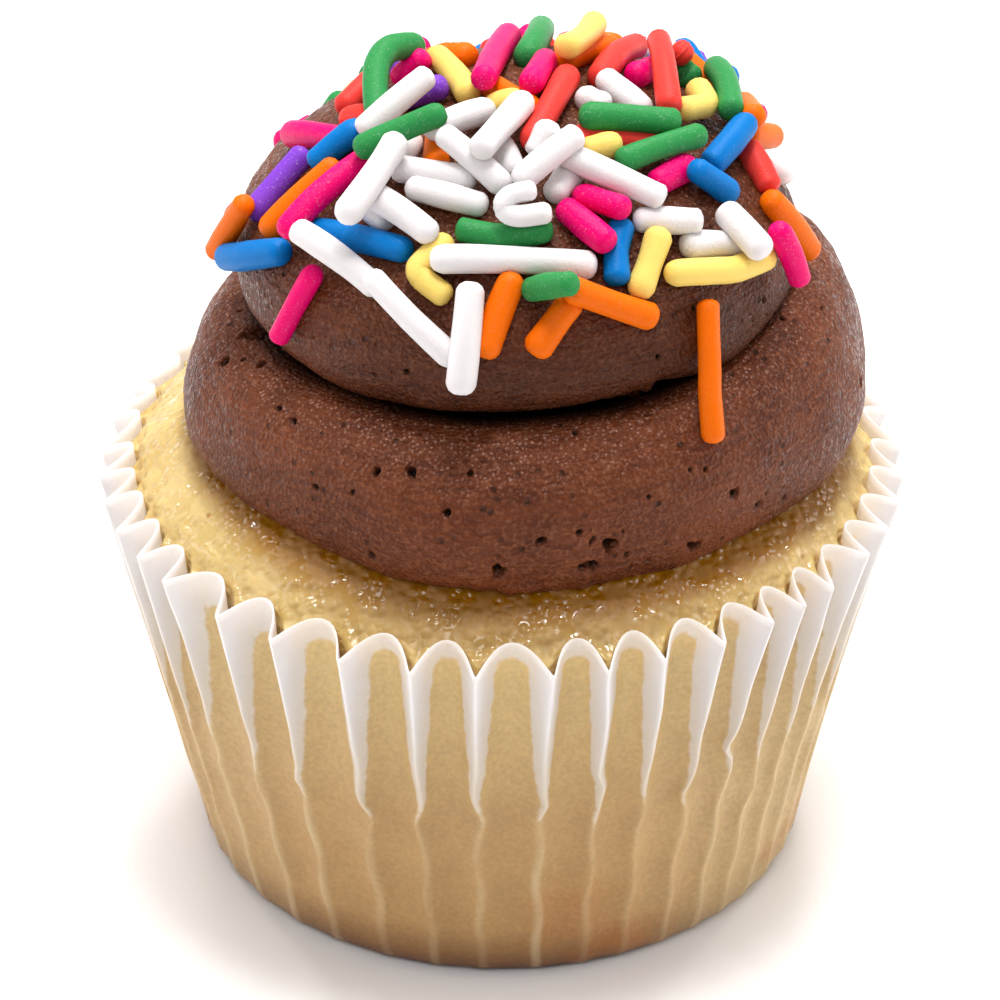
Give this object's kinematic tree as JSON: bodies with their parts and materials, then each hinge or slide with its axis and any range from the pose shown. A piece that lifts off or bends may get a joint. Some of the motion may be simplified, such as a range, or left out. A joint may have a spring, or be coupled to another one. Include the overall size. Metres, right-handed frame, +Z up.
{
  "type": "cupcake",
  "caption": "Mini cupcake: vanilla sponge in a pleated paper case, topped with a two-tier swirl of chocolate buttercream and coloured sugar sprinkles.",
  "frame": {"origin": "middle of the flat base of the paper case, on the surface it stands on", "axes": "+Z up through the middle of the cake, -Y towards the front, +X to the right seen from the front"},
  "size_m": [0.0425, 0.0426, 0.0447],
  "materials": {
    "paper": "matte white greaseproof paper, stained tan where it touches the cake",
    "sponge": "moist, sticky, finely pitted cake",
    "icing": "satin chocolate buttercream with sugar sprinkles",
    "sprinkles": "satin sugar rods in white, orange, yellow, red, pink, purple, blue and green"
  },
  "bodies": {
    "root": {"paper_case": "paper", "sponge": "sponge", "icing": "icing"}
  },
  "joints": []
}
